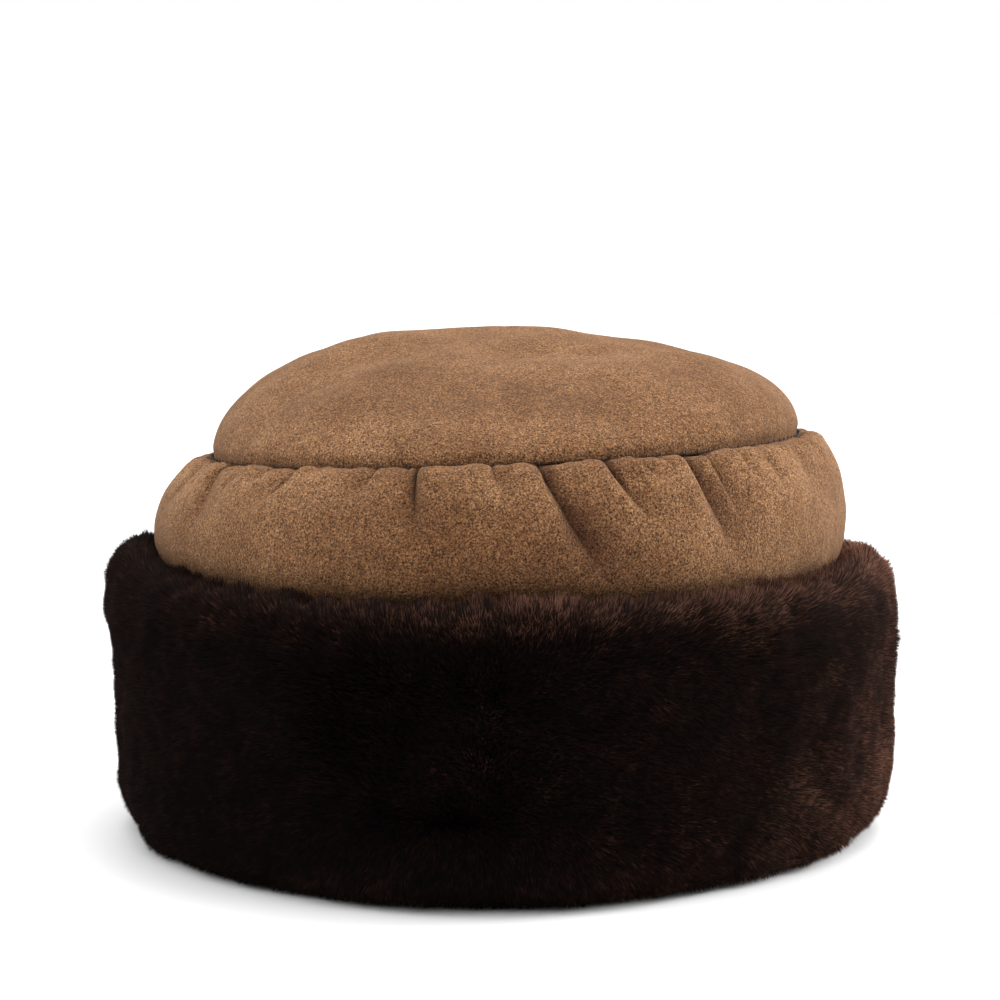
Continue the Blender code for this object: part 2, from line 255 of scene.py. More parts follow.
def grid_object(name, grid, round_rows):
    """A mesh through rings of points. Its rows join up too, or else end in a point at each end."""
    rows, columns = grid.shape[:2]
    index = np.arange(rows * columns).reshape(rows, columns)
    below = index if round_rows else index[:-1]
    above = np.roll(index, -1, axis=0) if round_rows else index[1:]
    corners = (below, np.roll(below, -1, 1), np.roll(above, -1, 1), above)
    faces = np.stack(corners, axis=-1).reshape(-1, 4).tolist()
    points = grid.reshape(-1, 3)
    if not round_rows:
        points = np.vstack([points, grid[0].mean(axis=0), grid[-1].mean(axis=0)])
        start, end = rows * columns, rows * columns + 1
        faces += [(start, b, a) for a, b in zip(index[0], np.roll(index[0], -1))]
        faces += [(a, b, end) for a, b in zip(index[-1], np.roll(index[-1], -1))]
    return smooth_object(name, points, faces)


def linear(hex_code):
    """The linear RGBA colour of an sRGB hex code."""
    parts = [int(hex_code[i : i + 2], 16) / 255 for i in (1, 3, 5)]
    return (*[p / 12.92 if p <= 0.04045 else ((p + 0.055) / 1.055) ** 2.4 for p in parts], 1.0)


def add_node(tree, kind, settings=None, inputs=None):
    """Adds a node, sets its own settings, and sets or links its inputs by name or number."""
    node = tree.nodes.new(kind)
    for name, value in (settings or {}).items():
        setattr(node, name, value)
    for key, value in (inputs or {}).items():
        if isinstance(value, bpy.types.NodeSocket):
            tree.links.new(value, node.inputs[key])
        else:
            node.inputs[key].default_value = value
    return node


MIX_A, MIX_B = 6, 7  # the colours of a Mix node, which has other inputs of the same names


def mapped(tree, value, source, target, kind="LINEAR"):
    """Maps a value from the two ends of the source to those of the target."""
    inputs = {"Value": value, "From Min": source[0], "From Max": source[1]}
    inputs.update({"To Min": target[0], "To Max": target[1]})
    return add_node(tree, "ShaderNodeMapRange", {"interpolation_type": kind}, inputs).outputs["Result"]


def ramp_between(tree, factor, stops):
    """A colour ramp with these (position, hex colour) stops, and its colour output."""
    ramp = add_node(tree, "ShaderNodeValToRGB", inputs={"Fac": factor})
    elements = ramp.color_ramp.elements
    while len(elements) < len(stops):
        elements.new(0.5)
    for element, (position, hex_code) in zip(elements, stops):
        element.position = position
        element.color = linear(hex_code)
    return ramp.outputs["Color"]


# Suede is the flesh side of the hide, buffed to a short nap. The nap scatters light, so it has no
# gloss, lightens where it is seen edge on, and shows darker specks where it lies the other way.
# Its attribute of painted light and shade is 0 where a highlight is painted, at a middle level
# where nothing is painted, and 1 where the painted shade is deepest, in a fold.
NAP_GRAIN = 0.00047
NAP_TWIST = 0.7
NAP_TUFT = 0.0024
NAP_SHADE = 0.012
NAP_DRAPE = 0.045
NAP_UNEVEN = 0.9
UNPAINTED_LEVEL = 0.3


def suede_material(name):
    material = bpy.data.materials.new(name)
    material.use_nodes = True
    tree = material.node_tree
    shader = tree.nodes["Principled BSDF"]
    place = add_node(tree, "ShaderNodeTexCoord").outputs["Object"]

    def field(size, detail, roughness=0.5, twist=0.0):
        inputs = {"Vector": place, "Scale": 1 / size, "Detail": detail, "Roughness": roughness}
        inputs["Distortion"] = twist
        return add_node(tree, "ShaderNodeTexNoise", inputs=inputs).outputs["Fac"]

    def darkened(colour, layer, factor):
        mixing = {"data_type": "RGBA", "blend_type": "MULTIPLY"}
        inputs = {"Factor": factor, MIX_A: colour, MIX_B: layer}
        return add_node(tree, "ShaderNodeMix", mixing, inputs).outputs[2]

    grain = field(NAP_GRAIN, 2.0, 0.6, NAP_TWIST)
    tuft = field(NAP_TUFT, 2.0)
    shade = field(NAP_SHADE, 3.0)
    drape = field(NAP_DRAPE, 2.0)
    speckled = ramp_between(
        tree, grain, [(0.33, "#3f2c1f"), (0.46, "#836147"), (0.56, "#b08662"), (0.69, "#dab188")]
    )
    tufted = ramp_between(tree, tuft, [(0.32, "#e6dfd8"), (0.62, "#fffefc")])
    cloudy = ramp_between(tree, shade, [(0.30, "#ddd4cb"), (0.50, "#eee9e3"), (0.70, "#fffdfa")])
    broad = ramp_between(tree, drape, [(0.32, "#dcd3ca"), (0.62, "#fffdfa")])
    colour = speckled
    for layer in (tufted, cloudy, broad):
        colour = darkened(colour, layer, NAP_UNEVEN)
    painted_light_and_shade = add_node(tree, "ShaderNodeAttribute", {"attribute_name": "painted_light_and_shade"}).outputs["Fac"]
    # The painted light and shade: lighter below the middle level, darker above it up to a fold's shade
    painted_shading = ramp_between(
        tree, painted_light_and_shade, [(0.0, "#ffffff"), (UNPAINTED_LEVEL, "#e4dfd9"), (0.47, "#e4dfd9"), (1.0, "#6f5546")]
    )
    tree.links.new(darkened(colour, painted_shading, 1.0), shader.inputs["Base Color"])
    soft = None
    for height, strength, distance in ((grain, 1.0, 0.0006), (tuft, 0.5, 0.0010)):
        inputs = {"Height": height, "Strength": strength, "Distance": distance}
        if soft:
            inputs["Normal"] = soft.outputs["Normal"]
        soft = add_node(tree, "ShaderNodeBump", inputs=inputs)
    tree.links.new(soft.outputs["Normal"], shader.inputs["Normal"])
    shader.inputs["Roughness"].default_value = 0.95
    shader.inputs["Specular IOR Level"].default_value = 0.15
    shader.inputs["Sheen Weight"].default_value = 0.22
    shader.inputs["Sheen Roughness"].default_value = 0.45
    shader.inputs["Sheen Tint"].default_value = linear("#d9b894")
    return material


def gather_paths(travelled):
    """The turn of each gather (one a column) at these shares of the way down the face."""
    starts, drifts, reaches = np.array(GATHERS)[:, :3].T
    run = np.clip(travelled / reaches, 0, 1)
    return starts + drifts * run**FOLD_CURVE


def gathered_columns(travelled):
    """Turns of the mesh's columns, which crowd towards the gathers and follow them down."""
    paths = gather_paths(travelled)
    paths = np.concatenate([paths, paths[:, :1] + 360], axis=1)
    gaps = np.diff(gather_paths(0.0 * travelled[:1]), append=GATHERS[0][0] + 360)[0]
    turns = []
    for k, gap in enumerate(gaps):
        count = int(COLUMNS_A_GATHER + gap / COLUMN_PITCH)
        share = np.arange(count) / count
        share = share - COLUMN_CROWDING * np.sin(2 * math.pi * share) / (2 * math.pi)
        turns.append(paths[:, k : k + 1] * (1 - share) + paths[:, k + 1 : k + 2] * share)
    return np.concatenate(turns, axis=1)


def gather_depth(turn, travelled):
    """How much of the puff the band has lost to its folds, from 0 to about 1."""
    lost = np.zeros(np.broadcast(turn, travelled).shape)
    for start, drift, reach, depth, width, steep in GATHERS:
        run = np.clip(travelled / reach, 0, 1)
        away = turns_away(turn - start, drift * run**FOLD_CURVE) * ROUND_SCALE
        breadth = FOLD_WIDTH * width * (1 + FOLD_WIDENING * run)
        easy_side = 1 + FOLD_EASY_SIDE * abs(steep)
        breadth = breadth * np.where(steep * away > 0, FOLD_STEEP_SIDE, easy_side)
        crease = np.exp(-np.abs(away / breadth) ** (FOLD_POINT + FOLD_ROUNDING * run))
        lost += (depth * (1 - run**2) * crease) ** 3
    return np.cbrt(lost)


suede = suede_material("brown_suede_nap")
band_stations = [
    (SUEDE_WALL + out * BAND_FULLNESS, CUFF_HEIGHT + up * BAND_RISE) for out, up in BAND_FACE
]
travelled = np.linspace(1, 0, BAND_ROWS)[:, None] ** BAND_ROW_CROWDING
face_line = smooth_line(band_stations, 1 - travelled[:, 0])
face_normals = outward_normals(face_line)
band_turns = gathered_columns(travelled)
swell = PUFF_AT_SEAM + (1 - PUFF_AT_SEAM) * share_of(travelled, *PUFF_RISES)
swell = swell * (1 - share_of(travelled, *PUFF_FADES))
face_rest = round_the_hat(band_turns, face_line[:, :1], face_line[:, 1:])
folds = gather_depth(band_turns, travelled)
pucker = ripple(face_rest * (1, 1, 0.3), PUCKER_SIZE, 11) * (1 - share_of(travelled, *PUCKER_FADES))
slack = share_of(travelled, 0.0, 0.25) * (1 - share_of(travelled, 0.6, 1))
slack = SLACK_HEIGHT * slack * ripples(face_rest, SLACK_LAYERS)
puffed = PUFF * swell * (1 - folds) + PUCKER_HEIGHT * pucker + slack
face_out = face_line[:, :1] + face_normals[:, :1] * puffed
face_up = face_line[:, 1:] + face_normals[:, 1:] * puffed
band_face = round_the_hat(band_turns, face_out, face_up)
inner_rows = np.linspace(BAND_ROWS - BAND_INNER_TOP, 0, BAND_INNER_ROWS).astype(int)
inner_out = face_out[inner_rows] - face_normals[inner_rows, :1] * SUEDE_WALL
inner_up = face_up[inner_rows] - face_normals[inner_rows, 1:] * SUEDE_WALL
band_inside = round_the_hat(band_turns[inner_rows], inner_out, inner_up)
ledge = -SEAM_INSET - SUEDE_WALL
seam_turns, hem_turns = band_turns[-1:], band_turns[:1]
band_grid = np.concatenate(
    [
        round_the_hat(hem_turns, SUEDE_WALL, HEM_HEIGHT),
        band_face,
        round_the_hat(seam_turns, ledge, SEAM_HEIGHT),
        round_the_hat(seam_turns, ledge, SEAM_HEIGHT - SUEDE_WALL),
        band_inside,
        round_the_hat(hem_turns, 0.0, HEM_HEIGHT),
    ]
)
side_band = grid_object("side_band_suede", lean_crown(band_grid), round_rows=True)

# Painted shade darkens the nap in the folds, along the seam and low at the front, and a painted
# highlight lightens it on the upper puffs
SEAM_SHADE = 0.8
# The painted shade low on the band's front: how deep, round which turn and how broad
LOW_FRONT_SHADE_DEPTH = 0.56
LOW_FRONT_SHADE_TURN = 4  # degrees
LOW_FRONT_SHADE_BREADTH = 26  # degrees
# Painted shade, low on the band's front
low_front_shade = bell(turns_away(band_turns, LOW_FRONT_SHADE_TURN), LOW_FRONT_SHADE_BREADTH) * share_of(travelled, 0.15, 0.60)
# A painted highlight on the upper puffs, less in the folds
painted_highlight = share_of(travelled, 0.02, 0.09) * (1 - share_of(travelled, 0.12, 0.34)) * (1 - folds)
painted_shading = folds * (1 - share_of(travelled, 0.3, 0.9)) + SEAM_SHADE * (1 - share_of(travelled, 0.0, 0.02))
painted_light_and_shade = np.full(band_grid.shape[:2], UNPAINTED_LEVEL)
painted_light_and_shade[1 : 1 + BAND_ROWS] += (1 - UNPAINTED_LEVEL) * (painted_shading + LOW_FRONT_SHADE_DEPTH * low_front_shade) - UNPAINTED_LEVEL * painted_highlight
store(side_band.data, "painted_light_and_shade", painted_light_and_shade)
side_band.data.materials.append(suede)
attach(side_band, "root")
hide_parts("crown_side_band")

# Tip of the crown
# The flat oval top panel of the same suede. It stands up in a low soft dome from the seam, where
# its edge turns in, and has a broad trough and smaller dents where it has been handled.

TIP_RISE = 0.0332
TIP_SQUARENESS = 2.2
TIP_FRONT_SLACK = 0.70
TIP_LOPSIDED = 0.03
SEAM_STAND = 0.0012  # height of the dome's foot over the seam
SEAM_TUCK = 0.0006  # how far its edge turns in, over its lowest SEAM_TUCK_RISE
SEAM_TUCK_RISE = 0.0035
FOOT_STAND = 0.0003  # height of the lowest edge over the seam
CRUMPLE_HEIGHT = 0.00028
CRUMPLE_LAYERS = ((0.022, 21, 1.0), (0.010, 22, 0.5))  # size, seed and share of the height
CRUMPLE_RISE = 0.012
TIP_SEAM_SHADE = 0.6
# Where the painted highlight low on the tip's front lies, and how broad it is
TIP_HIGHLIGHT_TURN = -18  # degrees
TIP_HIGHLIGHT_BREADTH = 34  # degrees
TIP_ROW_CROWDING = 1.15
TIP_COLUMNS = 420
TIP_ROWS = 92
TIP_INNER_ROWS = 18

# Across and along place a dent's middle as shares of the tip's half width and half length. Long and
# broad are shares of its half width, turn the way it runs, and depth a share of TIP_RISE.
TIP_DENTS = (
    # across, along, long, broad, turn, depth
    (0.62, 0.10, 0.60, 0.40, 90, 0.09),
    (-0.50, 0.00, 0.60, 0.38, 90, -0.08),
    (-0.46, -0.34, 0.55, 0.14, 38, 0.06),
    (0.18, -0.42, 0.34, 0.13, -10, 0.06),
    (0.50, -0.50, 0.36, 0.16, 24, -0.04),
    (0.02, -0.86, 0.22, 0.05, 90, 0.05),
    (-0.20, 0.45, 0.45, 0.18, -30, 0.06),
    (0.34, 0.62, 0.30, 0.16, 20, 0.05),
)


def tip_dent(across, along):
    """How far the tip is pushed down, in metres."""
    half_width = HEAD_HALF_WIDTH - SEAM_INSET
    half_length = HEAD_HALF_LENGTH - SEAM_INSET
    depth = np.zeros(np.broadcast(across, along).shape)
    for middle_x, middle_y, long, broad, turn, share in TIP_DENTS:
        way = math.radians(turn)
        dx = across - middle_x
        dy = (along - middle_y) * half_length / half_width
        lengthways = (dx * math.cos(way) + dy * math.sin(way)) / long
        sideways = (dy * math.cos(way) - dx * math.sin(way)) / broad
        depth += share * TIP_RISE * np.exp(-(lengthways**2) - sideways**2)
    return depth


def tip_grid(climb, inset):
    """Rings of the dome, where climb goes from 0 at the seam to 1 at the middle."""
    turns = np.arange(TIP_COLUMNS)[None, :] * 2 * math.pi / TIP_COLUMNS
    climb = np.asarray(climb)[:, None]
    angle = climb * math.pi / 2
    square = TIP_SQUARENESS + TIP_LOPSIDED * np.sin(turns) - TIP_FRONT_SLACK * np.cos(turns) ** 2
    reach = np.cos(angle) ** (2 / square)
    rise = np.sin(angle) ** (2 / square)
    half_width = HEAD_HALF_WIDTH - SEAM_INSET - inset
    half_length = HEAD_HALF_LENGTH - SEAM_INSET - inset
    across = reach * np.sin(turns)
    along = -reach * np.cos(turns)
    dome = (TIP_RISE - inset) * rise
    tuck = SEAM_TUCK * (1 - share_of(dome, 0, SEAM_TUCK_RISE)) * (inset == 0)
    pushed = tip_dent(across, along) * share_of(climb, 0.0, 0.35)
    height = SEAM_HEIGHT + SEAM_STAND + dome - pushed
    shrink = 1 - tuck / half_width
    return np.stack([half_width * across * shrink, half_length * along * shrink, height], axis=-1)


outer_dome = tip_grid(np.linspace(0, 1, TIP_ROWS + 1)[:-1] ** TIP_ROW_CROWDING, 0.0)
crumpled = share_of(outer_dome[..., 2], SEAM_HEIGHT, SEAM_HEIGHT + CRUMPLE_RISE)
outer_dome[..., 2] += CRUMPLE_HEIGHT * ripples(outer_dome, CRUMPLE_LAYERS) * crumpled
outer_foot = outer_dome[:1].copy()
outer_foot[..., 2] = SEAM_HEIGHT + FOOT_STAND
inner_dome = tip_grid(np.linspace(0, 1, TIP_INNER_ROWS + 1)[:-1], SUEDE_WALL)
inner_foot = inner_dome[:1].copy()
inner_foot[..., 2] = SEAM_HEIGHT + FOOT_STAND
tip_rings = np.concatenate([inner_dome[::-1], inner_foot, outer_foot, outer_dome])
crown_tip = grid_object("crown_tip_suede", lean_crown(tip_rings), round_rows=False)

# Painted shade darkens the nap along the seam, and a painted highlight lightens it low at the
# front, a little to the left of the middle
above_seam = outer_dome[..., 2] - SEAM_HEIGHT
tip_turns = np.arange(TIP_COLUMNS)[None, :] * 360 / TIP_COLUMNS
painted_highlight = bell(turns_away(tip_turns, TIP_HIGHLIGHT_TURN), TIP_HIGHLIGHT_BREADTH)
painted_highlight = painted_highlight * (1 - share_of(above_seam, 0.008, 0.016))
painted_shading = TIP_SEAM_SHADE * (1 - share_of(above_seam, 0.0005, 0.0022))
painted_light_and_shade = np.full(tip_rings.shape[:2], UNPAINTED_LEVEL)
painted_light_and_shade[TIP_INNER_ROWS : TIP_INNER_ROWS + 2] = SEAM_SHADE
painted_light_and_shade[TIP_INNER_ROWS + 2 :] += (1 - UNPAINTED_LEVEL) * painted_shading - UNPAINTED_LEVEL * painted_highlight * (1 - painted_shading)
store(crown_tip.data, "painted_light_and_shade", np.append(painted_light_and_shade, [0, 0]))  # the last two close the mesh
crown_tip.data.materials.append(suede)
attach(crown_tip, "root")
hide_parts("crown_tip")

# Seam stitches of the crown
# Hand stitches of dark brown waxed thread that draw the tip down on to the gathered band. Each one
# is a short bar that lies across the seam's ditch and sinks a little into both edges.

STITCH_PITCH = 0.0042
STITCH_LENGTH = 0.0021
STITCH_THICKNESS = 0.0005
STITCH_OUT = -0.0028
STITCH_LIFT = 0.0007
STITCH_SLANT = 24  # degrees
STITCH_SEED = 3
SEAM_LINE_STEP = 2.0  # degrees


def plain_material(name, hex_code, roughness, specular=0.5):
    """A material of one colour and one roughness."""
    material = bpy.data.materials.new(name)
    material.use_nodes = True
    shader = material.node_tree.nodes["Principled BSDF"]
    shader.inputs["Base Color"].default_value = linear(hex_code)
    shader.inputs["Roughness"].default_value = roughness
    shader.inputs["Specular IOR Level"].default_value = specular
    return material


def start_tree(name, sockets):
    """A Geometry Nodes tree with these inputs after its geometry, and its input node's outputs."""
    tree = bpy.data.node_groups.new(name, "GeometryNodeTree")
    tree.interface.new_socket("Geometry", in_out="INPUT", socket_type="NodeSocketGeometry")
    for name, (kind, value) in sockets.items():
        socket = tree.interface.new_socket(name, in_out="INPUT", socket_type=kind)
        socket.default_value = value
    tree.interface.new_socket("Geometry", in_out="OUTPUT", socket_type="NodeSocketGeometry")
    return tree, add_node(tree, "NodeGroupInput").outputs


def finish_tree(tree, copies, material):
    """Ends a tree with its copies made real and given their material."""
    real = add_node(tree, "GeometryNodeRealizeInstances", inputs={0: copies})
    finished = add_node(
        tree, "GeometryNodeSetMaterial", inputs={"Geometry": real.outputs[0], "Material": material}
    )
    add_node(tree, "NodeGroupOutput", inputs={0: finished.outputs[0]})


def product(tree, a, b):
    """The product of two values in a tree."""
    return add_node(tree, "ShaderNodeMath", {"operation": "MULTIPLY"}, {0: a, 1: b}).outputs[0]


def random_value(tree, low, high, seed):
    """A random value between low and high for each copy."""
    inputs = {2: low, 3: high, "Seed": seed}
    return add_node(tree, "FunctionNodeRandomValue", inputs=inputs).outputs[1]


thread = plain_material("waxed_thread", "#2a1a10", 0.6)


def stitch_tree():
    """Copies a stitch along a curve at an even pitch, each slanted a little by chance."""
    sockets = {
        "Pitch": ("NodeSocketFloat", STITCH_PITCH),
        "Length": ("NodeSocketFloat", STITCH_LENGTH),
        "Thickness": ("NodeSocketFloat", STITCH_THICKNESS),
        "Slant": ("NodeSocketFloat", math.radians(STITCH_SLANT)),
        "Seed": ("NodeSocketInt", STITCH_SEED),
    }
    tree, given = start_tree("seam_stitches", sockets)
    path = add_node(tree, "GeometryNodeMeshToCurve", inputs={0: given["Geometry"]})
    places = add_node(
        tree,
        "GeometryNodeCurveToPoints",
        {"mode": "LENGTH"},
        {"Curve": path.outputs[0], "Length": given["Pitch"]},
    )
    bar = add_node(
        tree,
        "GeometryNodeMeshCylinder",
        inputs={
            "Vertices": 8,
            "Radius": product(tree, given["Thickness"], 0.5),
            "Depth": given["Length"],
        },
    )
    low = product(tree, given["Slant"], -1.0)
    swing = random_value(tree, low, given["Slant"], given["Seed"])
    tilt = add_node(
        tree, "FunctionNodeAxisAngleToRotation", inputs={"Axis": (0, 0, 1), "Angle": swing}
    )
    facing = add_node(
        tree,
        "FunctionNodeAxesToRotation",
        {"primary_axis": "X", "secondary_axis": "Z"},
        {0: places.outputs["Tangent"], 1: (0.0, 0.0, 1.0)},
    )
    turned = add_node(
        tree, "FunctionNodeRotateRotation", inputs={0: facing.outputs[0], 1: tilt.outputs[0]}
    )
    copies = add_node(
        tree,
        "GeometryNodeInstanceOnPoints",
        inputs={
            "Points": places.outputs["Points"],
            "Instance": bar.outputs["Mesh"],
            "Rotation": turned.outputs[0],
        },
    )
    finish_tree(tree, copies.outputs[0], thread)
    return tree


def set_inputs(modifier, **values):
    """Sets a Geometry Nodes modifier's inputs by their names."""
    for item in modifier.node_group.interface.items_tree:
        if item.item_type == "SOCKET" and item.in_out == "INPUT" and item.name in values:
            modifier[item.identifier] = values[item.name]


def plain_copy(name, source):
    """The evaluated object as a plain mesh with no modifiers."""
    graph = bpy.context.evaluated_depsgraph_get()
    graph.update()
    mesh = bpy.data.meshes.new_from_object(source.evaluated_get(graph), depsgraph=graph)
    return add_object(name, mesh)


seam_turns = np.arange(0, 360, SEAM_LINE_STEP)
seam_points = lean_crown(round_the_hat(seam_turns, STITCH_OUT, SEAM_HEIGHT + STITCH_LIFT))
seam_edges = [(i, (i + 1) % len(seam_points)) for i in range(len(seam_points))]
seam_mesh = bpy.data.meshes.new("seam_line")
seam_mesh.from_pydata(seam_points, seam_edges, [])
seam_line = add_object("seam_line", seam_mesh)
stitching = seam_line.modifiers.new("stitches", "NODES")
stitching.node_group = stitch_tree()
set_inputs(stitching, Seed=STITCH_SEED)
seam_stitches = plain_copy("seam_stitches", seam_line)
bpy.data.objects.remove(seam_line)
seam_stitches.data.shade_smooth()
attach(seam_stitches, "root")

# Fur cuff, its backing
# Two strips of sheepskin, turned up with the wool outwards and sewn together at the sides of the
# hat. The backing is the hide with the dense underwool, which shows only as dark between the tips.

FUR_DEPTH = 0.0228
UNDERWOOL_DEPTH = 0.0024
SIDE_SEAM_TURN = 76
SIDE_GROOVE_DEPTH = 0.0022
SIDE_GROOVE_WIDTH = 0.006
SEWN_GAP = 0.0003
OUTER_STRETCH = 1.12  # how much longer the way round is at the fur than at the head opening
NEAR_FOOT = 0.3  # from this share of CUFF_HEIGHT up to the next, what is done at the foot fades
NEAR_CREST = 0.8
FOOT_EASE = 0.04
FOOT_REACH = 0.4  # share of CUFF_HEIGHT up to which a lifted foot is felt
LOCK_HEIGHT = 0.00055
LOCK_LAYERS = ((0.0052, 30, 0.2), (0.0095, 31, 0.6), (0.019, 32, 0.7))  # size, seed and share
LOCKS_RISE = (0.0005, 0.006)  # metres over the floor
BACKING_CLEARANCE = 0.0006  # over the floor
LEAST_LEAN = 0.5  # how far the wool still lies over where its directions cancel out
FUR_ROWS = 72
FUR_COLUMNS = 420

CUFF_LINE = (
    # out as a share of FUR_DEPTH, up as a share of CUFF_HEIGHT
    (0.16, 0.000),
    (0.48, 0.000),
    (0.76, 0.040),
    (0.95, 0.130),
    (1.02, 0.280),
    (0.97, 0.480),
    (0.95, 0.660),
    (0.98, 0.790),
    (0.93, 0.905),
    (0.77, 0.980),
    (0.53, 1.004),
    (0.30, 0.985),
    (0.13, 0.925),
    (0.08, 0.700),
)

# How much higher the crest and the foot stand, as shares of CUFF_HEIGHT, and how much further out
# the fur is near the foot, as a share of how far out it is there
CUFF_ROUND = (
    # turn, crest, foot, near_foot
    (-180, 0.040, 0.000, 0.00),
    (-120, 0.062, 0.000, -0.10),
    (-84, 0.062, 0.000, -0.18),
    (-62, 0.030, 0.000, -0.22),
    (-42, -0.005, 0.000, -0.20),
    (-12, -0.004, 0.000, 0.00),
    (5, 0.000, 0.002, -0.02),
    (30, 0.006, 0.020, -0.28),
    (45, 0.010, 0.022, -0.31),
    (65, 0.020, 0.010, -0.20),
    (84, 0.025, 0.000, -0.02),
    (120, 0.030, 0.000, 0.00),
    (180, 0.040, 0.000, 0.00),
)

# Which way the wool lies, in degrees from sideways (towards +turn) to straight up the cuff
FUR_LIE = (
    # turn, foot, middle, crest
    (-180, -90, 90, 90),
    (-130, -160, 190, 170),
    (-48, -150, 195, 170),
    (-12, -90, 90, 95),
    (30, -30, -10, 25),
    (60, -35, -8, 30),
    (130, -30, -10, 20),
    (180, -90, 90, 90),
)

# The wool's tone at the foot and from the middle up, and how much lighter it is near the crest,
# from 0 for darkest to 1. Round the hat it is painted light: lighter at the right and along the
# crest, where the light falls, and darker at the left.
FUR_TONE_AND_PAINTED_LIGHT = (
    # turn, foot, middle, crest
    (-180, 0.25, 0.25, 0.18),
    (-110, 0.22, 0.22, 0.12),
    (-75, 0.12, 0.10, 0.06),
    (-40, 0.09, 0.08, 0.15),
    (0, 0.17, 0.17, 0.30),
    (30, 0.29, 0.19, 0.30),
    (65, 0.43, 0.26, 0.25),
    (88, 0.60, 0.44, 0.32),
    (130, 0.30, 0.30, 0.20),
    (180, 0.25, 0.25, 0.18),
)

# Size, seed and height of how the wool strays from its lie (in degrees), and how its length and
# its fading vary (in shares)
STRAY_LAYERS = ((0.030, 41, 14), (0.009, 42, 8))
PILE_LAYERS = ((0.0050, 43, 0.10), (0.0022, 44, 0.07))
PATCH_LAYERS = ((0.015, 45, 0.03), (0.005, 46, 0.04))
RIM_RAGGED = 1.8  # how much more the length varies near the crest
FOOT_ROWS = 3
FOOT_GROWTH = 0.25
INSIDE_SHARE = 0.93  # share of the rows after which the wool is inside the cuff
INSIDE_GROWTH = 0.3
OVER_SHARE = 0.7  # share of the rows after which it has turned over the crest


def from_table(table, turn, column):
    """A column of a table, read smoothly at each turn."""
    rows = np.array(table)
    wrapped = turns_away(turn, 0)
    place = np.clip(np.searchsorted(rows[:, 0], wrapped, side="right") - 1, 0, len(rows) - 2)
    low, high = rows[place], rows[place + 1]
    blend = share_of(wrapped, low[..., 0], high[..., 0])
    return low[..., column] + (high[..., column] - low[..., column]) * blend


def fur_form(turns):
    """The fur's outer face at these turns: out, up and its normal in section, row by row."""
    line = smooth_line(CUFF_LINE, np.linspace(0, 1, FUR_ROWS))
    out, up = line[:, :1], line[:, 1:]
    near = share_of(up, NEAR_FOOT, NEAR_CREST)
    crest, foot, near_foot = [from_table(CUFF_ROUND, turns, k)[None, :] for k in (1, 2, 3)]
    wider = 1 + near_foot * (1 - near) * np.clip(up / FOOT_EASE, 0, 1)
    taller = crest * up * share_of(up, 0, 1) + foot * (1 - share_of(up, 0.0, FOOT_REACH))
    away = np.abs(np.abs(turns_away(turns, 0)) - SIDE_SEAM_TURN) * ROUND_SCALE * OUTER_STRETCH
    groove = SIDE_GROOVE_DEPTH * bell(away, SIDE_GROOVE_WIDTH)[None, :]
    outs = SUEDE_WALL + SEWN_GAP + out * wider * FUR_DEPTH
    ups = (up + taller) * CUFF_HEIGHT
    along_out, along_up = np.gradient(outs, axis=0), np.gradient(ups, axis=0)
    length = np.hypot(along_out, along_up)
    normal_out, normal_up = along_up / length, -along_out / length
    place = round_the_hat(turns[None, :], outs, ups)
    raised = LOCK_HEIGHT * ripples(place, LOCK_LAYERS) * share_of(ups, *LOCKS_RISE) - groove
    outs = outs + normal_out * raised
    ups = ups + normal_up * raised
    return outs, ups, normal_out, normal_up


wool_dark = plain_material("underwool", "#0d0907", 1.0, 0.05)


def wool_lie(turns, places, heights, normal_out, normal_up):
    """Which way the wool lies, row by row. It is shorter where two directions meet."""
    angle, level = np.radians(turns), 0 * turns
    radial = np.stack([np.sin(angle), -np.cos(angle), level], axis=-1)
    sideways = np.stack([np.cos(angle), np.sin(angle), level], axis=-1)
    up_way = -normal_up[..., None] * radial[None] + normal_out[..., None] * np.array([0, 0, 1.0])
    over = np.arange(FUR_ROWS)[:, None] > FUR_ROWS * OVER_SHARE
    at_crest = np.where(over, 1.0, share_of(heights, 0.42, 1.02))
    at_foot = 1 - share_of(heights, 0.0, 0.6)
    weights = (at_foot, (1 - at_foot) * (1 - at_crest), at_crest)
    stray = ripples(places, STRAY_LAYERS)
    flow = np.zeros(places.shape)
    for column, weight in zip((1, 2, 3), weights):
        lie = np.radians(from_table(FUR_LIE, turns, column)[None, :] + stray)[..., None]
        flow += weight[..., None] * (np.cos(lie) * sideways[None] + np.sin(lie) * up_way)
    length = np.linalg.norm(flow, axis=-1, keepdims=True)
    return flow * ((LEAST_LEAN + (1 - LEAST_LEAN) * length) / np.maximum(length, 0.001))


def wool_growth():
    """How densely the wool grows, row by row: thinly on the foot and inside the crest."""
    grow = np.ones(FUR_ROWS)
    grow[:FOOT_ROWS] = FOOT_GROWTH
    grow[int(FUR_ROWS * INSIDE_SHARE) :] = INSIDE_GROWTH
    return grow


def wool_tone_and_painted_light(turns, places, height):
    """The wool's tone row by row: painted light at the right and the crest, and random patches."""
    foot, middle, crest = [from_table(FUR_TONE_AND_PAINTED_LIGHT, turns, k)[None, :] for k in (1, 2, 3)]
    patch = foot + (middle - foot) * share_of(height, 0.15, 0.60) + crest * share_of(height, 0.80, 1.0)
    return patch + ripples(places, PATCH_LAYERS)


